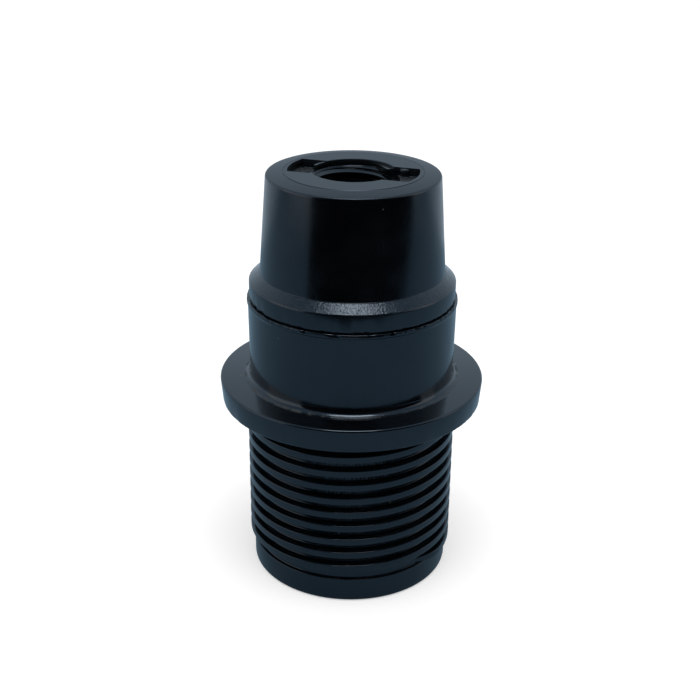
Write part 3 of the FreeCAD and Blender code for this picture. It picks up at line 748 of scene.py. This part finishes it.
def ring_mask(tree, height, radius, zone, soft):
    """1 in a zone's ring and 0 outside it, with edges that are soft over `soft` mm either way.

    The ring lies between two heights, `z`, and two distances from the axis, `r`.
    """
    edges = []
    for source, (low, high) in ((height, zone["z"]), (radius, zone["r"])):
        for start, end in ((low - soft, low + soft), (high + soft, high - soft)):
            edges.append(node(tree, "ShaderNodeMapRange", [("Value", *source)],
                              interpolation_type="SMOOTHSTEP", in_From_Min=start, in_From_Max=end))
    mask = edges[0]
    for edge in edges[1:]:
        mask = node(tree, "ShaderNodeMath", [(0, mask, 0), (1, edge, 0)], operation="MULTIPLY")
    return mask


def grain(tree, coords, size, detail=2.0, stretch=(1, 1, 1)):
    """A noise with a grain of `size` millimetres, drawn out along each axis under 1."""
    drawn = node(tree, "ShaderNodeMapping", [("Vector", coords, "Object")], in_Scale=stretch)
    return node(tree, "ShaderNodeTexNoise", [("Vector", drawn, 0)], in_Scale=per_mm(size),
                in_Detail=detail)


def cover(tree, shader, colour, height, finish=None):
    """Joins a colour, a relief whose height is in millimetres and a roughness to a shader."""
    bump = node(tree, "ShaderNodeBump", [("Height", height, 0)], in_Strength=1.0, in_Distance=MM)
    tree.links.new(colour.outputs[2], shader.inputs["Base Color"])
    tree.links.new(bump.outputs[0], shader.inputs["Normal"])
    if finish:
        tree.links.new(finish.outputs[0], shader.inputs["Roughness"])


def phenolic(name, deep, haze, gloss, rough, rough_zones, dust_zones):
    """Black phenolic, compression moulded: near black with a cool haze, rubbed and dusty.

    It has a grainy skin in its rough zones, and brownish dust has settled in its dust zones.
    """
    material, tree, shader = new_material(name)
    shader.inputs["IOR"].default_value = 1.58
    shader.inputs["Specular Tint"].default_value = hex_colour("#DCEEFF")
    coords, height, radius = place(tree)
    # clouds 5 mm across, in which the haze and the roughness vary
    cloud = grain(tree, coords, 5.0, detail=6.0)
    patch = node(tree, "ShaderNodeMapRange", [("Value", cloud, 0)],
                 interpolation_type="SMOOTHSTEP", in_From_Min=0.36, in_From_Max=0.68)
    colour = node(tree, "ShaderNodeMix", [("Factor", patch, 0)], data_type="RGBA",
                  in_6=hex_colour(deep), in_7=hex_colour(haze))
    # rubbing marks 0.25 mm wide, drawn out round and along the part, in patches
    marks = grain(tree, coords, 0.25, stretch=(0.3, 0.3, 0.05))
    sharp = node(tree, "ShaderNodeMapRange", [("Value", marks, 0)],
                 interpolation_type="SMOOTHSTEP", in_From_Min=0.60, in_From_Max=0.75)
    rubbed = node(tree, "ShaderNodeMath", [(0, sharp, 0), (1, patch, 0)], operation="MULTIPLY")
    worn = node(tree, "ShaderNodeMapRange", [("Value", cloud, 0)],
                interpolation_type="SMOOTHSTEP", in_From_Min=0.2, in_From_Max=3.0)
    faint = node(tree, "ShaderNodeMath", [(0, rubbed, 0), (1, worn, 0)], operation="MULTIPLY")
    colour = node(tree, "ShaderNodeMix", [("Factor", faint, 0), (6, colour, 2)],
                  data_type="RGBA", in_7=hex_colour("#161C22"))
    # dust specks 0.15 mm across, in one cell of seven in a 1.8 mm pattern
    cells = node(tree, "ShaderNodeTexVoronoi", [("Vector", coords, "Object")],
                 in_Scale=per_mm(1.8))
    split = node(tree, "ShaderNodeSeparateColor", [("Color", cells, "Color")])
    chosen = node(tree, "ShaderNodeMath", [(0, split, 0)], operation="GREATER_THAN", in_1=0.86)
    speck = node(tree, "ShaderNodeMapRange", [("Value", cells, 0)],
                 interpolation_type="SMOOTHSTEP", in_From_Min=0.055, in_From_Max=0.035)
    specks = node(tree, "ShaderNodeMath", [(0, speck, 0), (1, chosen, 0)], operation="MULTIPLY")
    colour = node(tree, "ShaderNodeMix", [("Factor", specks, 0), (6, colour, 2)],
                  data_type="RGBA", in_7=hex_colour("#4A4B4A"))
    finish = node(tree, "ShaderNodeMapRange", [("Value", cloud, 0)],
                  interpolation_type="SMOOTHSTEP", in_From_Min=0.3, in_From_Max=0.7,
                  in_To_Min=gloss, in_To_Max=rough)
    finish = node(tree, "ShaderNodeMath", [(0, rubbed, 0), (2, finish, 0)],
                  operation="MULTIPLY_ADD", in_1=0.12)
    # the moulded skin: a very slight orange peel, 0.6 mm across and 0.006 mm high
    peel = grain(tree, coords, 0.6)
    skin = node(tree, "ShaderNodeMath", [(0, peel, 0)], operation="MULTIPLY", in_1=0.006)
    for zone in rough_zones:
        inside = ring_mask(tree, height, radius, zone, soft=0.05)
        grains = grain(tree, coords, zone["grain_mm"], detail=3.0)
        lift = node(tree, "ShaderNodeMath", [(0, grains, 0)], operation="MULTIPLY",
                    in_1=zone["depth_mm"])
        skin = node(tree, "ShaderNodeMath", [(0, lift, 0), (1, inside, 0), (2, skin, 0)],
                    operation="MULTIPLY_ADD")
        finish = node(tree, "ShaderNodeMix", [("Factor", inside, 0), (2, finish, 0)],
                      data_type="FLOAT", in_3=zone["roughness"])
        peaks = node(tree, "ShaderNodeMapRange", [("Value", grains, 0)],
                     interpolation_type="SMOOTHSTEP", in_From_Min=0.35, in_From_Max=0.6)
        shown = node(tree, "ShaderNodeMath", [(0, inside, 0), (1, peaks, 0)],
                     operation="MULTIPLY")
        colour = node(tree, "ShaderNodeMix", [("Factor", shown, 0), (6, colour, 2)],
                      data_type="RGBA", in_7=hex_colour(zone["colour"]))
    for zone in dust_zones:
        inside = ring_mask(tree, height, radius, zone, soft=0.12)
        drifts = node(tree, "ShaderNodeMapRange",
                      [("Value", grain(tree, coords, 1.4, detail=6.0), 0)],
                      interpolation_type="SMOOTHSTEP", in_From_Min=0.42, in_From_Max=0.62,
                      in_To_Max=zone["strength"])
        settled = node(tree, "ShaderNodeMath", [(0, inside, 0), (1, drifts, 0)],
                       operation="MULTIPLY")
        colour = node(tree, "ShaderNodeMix", [("Factor", settled, 0), (6, colour, 2)],
                      data_type="RGBA", in_7=hex_colour("#2E2B24"))
        finish = node(tree, "ShaderNodeMix", [("Factor", settled, 0), (2, finish, 0)],
                      data_type="FLOAT", in_3=0.8)
    cover(tree, shader, colour, skin, finish)
    return material


def steatite():
    """Pressed and fired steatite, unglazed: chalky off-white, clouded and gritty.

    Its grit is drawn at 0.18 mm, coarser than it is, so that it shows.
    """
    material, tree, shader = new_material("unglazed_steatite")
    shader.inputs["Roughness"].default_value = 0.72
    coords = node(tree, "ShaderNodeTexCoord")
    cloud = node(tree, "ShaderNodeMapRange", [("Value", grain(tree, coords, 4.0, detail=5.0), 0)],
                 interpolation_type="SMOOTHSTEP", in_From_Min=0.35, in_From_Max=0.7)
    grit = grain(tree, coords, 0.18, detail=3.0)
    dark = node(tree, "ShaderNodeMapRange", [("Value", grit, 0)],
                interpolation_type="SMOOTHSTEP", in_From_Min=0.66, in_From_Max=0.8)
    colour = node(tree, "ShaderNodeMix", [("Factor", cloud, 0)], data_type="RGBA",
                  in_6=hex_colour("#DDD8CA"), in_7=hex_colour("#C6BFAE"))
    colour = node(tree, "ShaderNodeMix", [("Factor", dark, 0), (6, colour, 2)],
                  data_type="RGBA", in_7=hex_colour("#A39A88"))
    height = node(tree, "ShaderNodeMath", [(0, grit, 0)], operation="MULTIPLY", in_1=0.02)
    cover(tree, shader, colour, height)
    return material


def metal(name, bright, dull, gloss, rough, line, stretch, depth):
    """Worked metal: a tarnish in clouds 2.5 mm across, and tool lines drawn out by `stretch`.

    The lines are `line` mm apart and `depth` mm deep.
    """
    material, tree, shader = new_material(name)
    shader.inputs["Metallic"].default_value = 1.0
    coords = node(tree, "ShaderNodeTexCoord")
    cloud = grain(tree, coords, 2.5, detail=5.0)
    tarnish = node(tree, "ShaderNodeMapRange", [("Value", cloud, 0)],
                   interpolation_type="SMOOTHSTEP", in_From_Min=0.42, in_From_Max=0.7)
    colour = node(tree, "ShaderNodeMix", [("Factor", tarnish, 0)], data_type="RGBA",
                  in_6=hex_colour(bright), in_7=hex_colour(dull))
    finish = node(tree, "ShaderNodeMapRange", [("Value", cloud, 0)],
                  interpolation_type="SMOOTHSTEP", in_From_Min=0.3, in_From_Max=0.7,
                  in_To_Min=gloss, in_To_Max=rough)
    lines = grain(tree, coords, line, stretch=stretch)
    height = node(tree, "ShaderNodeMath", [(0, lines, 0)], operation="MULTIPLY", in_1=depth)
    cover(tree, shader, colour, height, finish)
    return material


def dress(cad_node, material):
    """Gives a CAD node that stays in view its own material."""
    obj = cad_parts[cad_node]
    obj.data.materials.clear()
    obj.data.materials.append(material)


# ---- the lamp holder ----
camera()
studio()

# glossy skin on the skirt: the thread's relief is left rough by the tool, and dust lies in the
# fillet at the collar's foot
skirt_skin = phenolic(
    "phenolic_skirt", "#030406", "#06080B", 0.11, 0.18,
    [dict(z=(FLANGE_Z - 0.05, FLANGE_Z + 0.4), r=(ROOT_R, SEAT_RELIEF_R),
          grain_mm=0.3, depth_mm=0.03, roughness=0.6, colour="#040404")],
    [dict(z=(COLLAR_Z - 0.05, COLLAR_Z + 0.4), r=(13.75, 14.15), strength=0.7)])
# satin skin on the cap: its shoulder sparkles, its slot's floor is dull and dusty, its crown is
# matt; the sparkle's grain is drawn coarser than the real one, so that it shows
cap_skin = phenolic(
    "phenolic_cap", "#020304", "#040507", 0.16, 0.24,
    [dict(z=(SHOULDER_Z + 0.08, CONE_Z - 0.06), r=(CONE_R - 0.2, RIM_R + 0.1),
          grain_mm=0.26, depth_mm=0.07, roughness=0.08, colour="#06080A"),
     dict(z=(SLOT_Z - 0.05, SLOT_Z + 0.1), r=(SLOT_WALL_R + 0.1, SLOT_END_R + 0.1),
          grain_mm=0.35, depth_mm=0.12, roughness=0.75, colour="#2B2824"),
     dict(z=(CROWN_Z - 0.45, CROWN_Z + 0.1), r=(COUNTERBORE_R, CROWN_EDGE_R + 0.1),
          grain_mm=0.3, depth_mm=0.008, roughness=0.42, colour="#06080B")],
    [])
# how tool lines are drawn out: up the part, along X, round the axis, or not at all
UP, ALONG_X, ROUND, EVEN = (1, 1, 0.08), (0.08, 1, 1), (0.1, 0.1, 1), (1, 1, 1)
# nickel-plated brass, rolled: bright, with lines up the shell
nickel = metal("nickel_plated_rolled_brass", "#CFCBC0", "#A9A08C", 0.18, 0.34, 0.35, UP, 0.004)
# brass wire, headed: rubbed and duller
rivet_brass = metal("headed_rivet_brass", "#D2AE6A", "#9C7B42", 0.25, 0.42, 0.2, EVEN, 0.006)
# spring wire, drawn: grey under a dark oxide
spring_steel = metal("drawn_spring_steel", "#8F9194", "#6A6B6E", 0.22, 0.35, 0.1, EVEN, 0.003)
# brass sheet, stamped: satin, rolled one way
sheet_brass = metal("stamped_sheet_brass", "#D0A85C", "#A8843F", 0.26, 0.40, 0.15, ALONG_X, 0.004)
# steel, zinc plated: bright and cool
zinc = metal("zinc_plated_steel", "#C4C8CC", "#9EA3A8", 0.2, 0.36, 0.2, EVEN, 0.004)
# brass, turned: rings round the pin
turned_brass = metal("turned_brass", "#D8B368", "#B08D4A", 0.15, 0.28, 0.12, ROUND, 0.004)

skirt_piece = skirt()
skirt_piece.data.materials.append(skirt_skin)
cap_piece = cap()
cap_piece.data.materials.append(cap_skin)
shell_piece = screw_shell()
shell_piece.data.materials.append(nickel)
pieces = [(skirt_piece, "threaded_skirt", "skirt", "moulded_phenolic"),
          (cap_piece, "entry_cap", "cap", "moulded_phenolic"),
          (shell_piece, "screw_shell", "insert", "nickel_plated_brass")]
for cad_node in ("live_terminal_rivet", "neutral_shell_rivet", "blank_shell_rivet"):
    piece = rivet(cad_node + "_domed", cad_node)
    piece.data.materials.append(rivet_brass)
    pieces.append((piece, cad_node, "insert", "rivet_brass"))
spring_piece = contact_spring()
spring_piece.data.materials.append(spring_steel)
pieces.append((spring_piece, "contact_spring", "insert", "spring_steel"))
for piece, cad_node, body, slot in pieces:
    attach(piece, body)
    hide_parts(cad_node)
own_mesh(spring_piece)

dress("ceramic_insert", steatite())
dress("contact_pin", turned_brass)
for pole in ("live", "neutral"):
    dress(pole + "_terminal", sheet_brass)
    dress(pole + "_clamp_washer", zinc)
    dress(pole + "_lock_washer", spring_steel)
    dress(pole + "_terminal_screw", zinc)

bpy.context.scene.view_settings.view_transform = "Standard"
